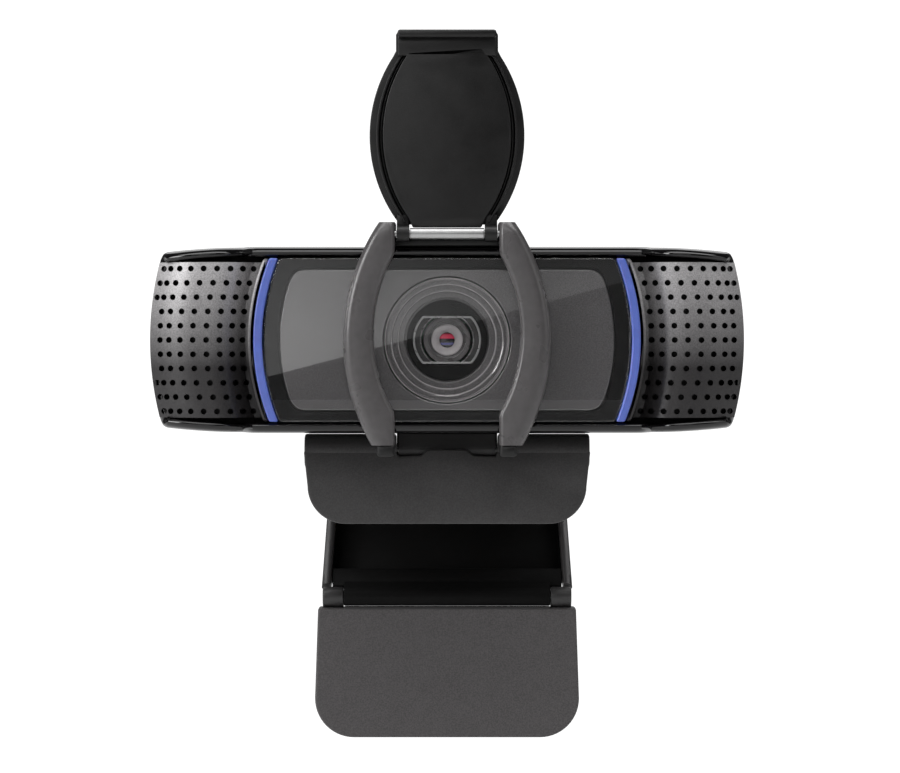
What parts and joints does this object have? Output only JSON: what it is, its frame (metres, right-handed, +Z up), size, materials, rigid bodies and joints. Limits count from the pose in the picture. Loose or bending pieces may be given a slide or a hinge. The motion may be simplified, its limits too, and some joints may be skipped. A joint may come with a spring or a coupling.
{
  "type": "webcam",
  "caption": "wide webcam head with a clear front window, side grilles and a flip-up lens shutter, on a folding clip that grips a monitor's top edge",
  "frame": {"origin": "centre of the seat pad's underside, which rests on the monitor's top edge", "axes": "+Z up, the camera looks along -Y, +X is to the right seen from in front of the camera"},
  "size_m": [0.094, 0.0731, 0.1158],
  "materials": {
    "gloss_black": "glossy black moulded plastic",
    "matte_black": "fine-textured matte black plastic",
    "soft_grey": "soft-touch dark grey coating with a fine grain",
    "frame_grey": "satin dark grey plastic",
    "plate_grey": "grey metallic paint with a fine sparkle",
    "grille_grey": "satin grey perforated plastic, fading darker downwards",
    "clear_window": "clear glossy window",
    "lens_glass": "coated lens glass with a red and blue glint",
    "guide_blue": "translucent blue light guide",
    "steel": "bright steel",
    "brass": "bright brass",
    "rubber": "soft black rubber",
    "board": "green circuit board",
    "chip": "black chip package",
    "led": "white light emitter package"
  },
  "bodies": {
    "clip": {"clip_top": "soft_grey", "seat_pad": "rubber", "lip_pad": "rubber", "tripod_insert": "brass", "leg_hinge_pin": "steel", "tilt_hinge_pin": "steel"},
    "head": {"front_bezel": "gloss_black", "rear_casing": "matte_black", "front_window": "clear_window", "face_plate": "plate_grey", "window_border": "gloss_black", "inner_frame": "matte_black", "left_light_guide": "guide_blue", "right_light_guide": "guide_blue", "left_led_board": "board", "right_led_board": "board", "left_led": "led", "right_led": "led", "left_grille": "grille_grey", "right_grille": "grille_grey", "lens_hood": "gloss_black", "aperture_mask": "matte_black", "focus_coil_housing": "steel", "lens_mount_base": "matte_black", "image_sensor": "chip", "main_circuit_board": "board", "image_processor": "chip", "left_microphone": "steel", "right_microphone": "steel", "left_microphone_boot": "rubber", "right_microphone_boot": "rubber", "housing_screw_1": "steel", "housing_screw_2": "steel", "housing_screw_3": "steel", "housing_screw_4": "steel", "cable_gland": "rubber", "tilt_knuckle": "matte_black", "shutter_frame": "frame_grey", "shutter_hinge_rod": "steel"},
    "lens": {"lens_barrel": "matte_black", "lens_retaining_ring": "steel", "front_lens_element": "lens_glass"},
    "shutter": {"shutter_flap": "matte_black"},
    "leg": {"rear_leg": "matte_black", "foot_hinge_pin_left": "steel", "foot_hinge_pin_right": "steel"},
    "foot": {"foot": "matte_black", "foot_pad": "soft_grey"}
  },
  "joints": [
    {"name": "head_tilt", "type": "hinge", "parent": "clip", "child": "head", "pos_m": [0, -0.027, 0.0027], "axis": [1, 0, 0], "range_deg": [-15, 30]},
    {"name": "shutter_hinge", "type": "hinge", "parent": "head", "child": "shutter", "pos_m": [0, -0.0383, 0.0369], "axis": [1, 0, 0], "range_deg": [0, 180]},
    {"name": "focus", "type": "slide", "parent": "head", "child": "lens", "axis": [0, -1, 0], "range_m": [0, 0.0003], "stiffness_N_per_m": 50},
    {"name": "leg_hinge", "type": "hinge", "parent": "clip", "child": "leg", "pos_m": [0, 0.0298, -0.0019], "axis": [1, 0, 0], "range_deg": [-55, 60]},
    {"name": "foot_hinge", "type": "hinge", "parent": "leg", "child": "foot", "pos_m": [0, 0.015, -0.023], "axis": [1, 0, 0], "range_deg": [-34, 40]}
  ]
}
